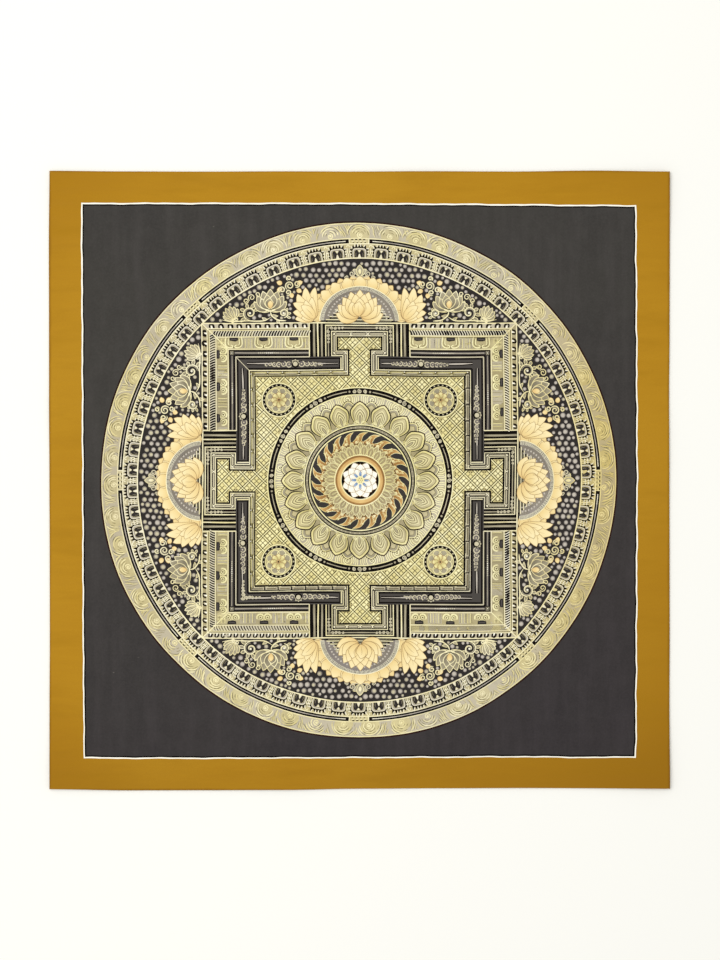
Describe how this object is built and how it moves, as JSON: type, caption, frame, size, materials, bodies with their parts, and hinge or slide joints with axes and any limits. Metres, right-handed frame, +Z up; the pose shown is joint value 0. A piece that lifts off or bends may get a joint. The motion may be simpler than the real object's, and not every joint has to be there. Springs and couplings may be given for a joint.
{
  "type": "unmounted mandala painting on cotton canvas",
  "caption": "Square sheet of primed cotton canvas, painted with a gold mandala on a dark field inside a plain ochre border, lying flat with no scroll mounting.",
  "frame": {"origin": "middle of the rectangle that bounds the sheet, on the surface it lies on", "axes": "+Z is up, out of the painted face; +X runs across the picture to its right; +Y runs towards the picture's upper edge"},
  "size_m": [0.5106, 0.5098, 0.0034],
  "materials": {
    "painted_canvas": "matt mineral paint and gold lines on primed cotton"
  },
  "bodies": {
    "root": {"painted_canvas": "painted_canvas"}
  },
  "joints": []
}
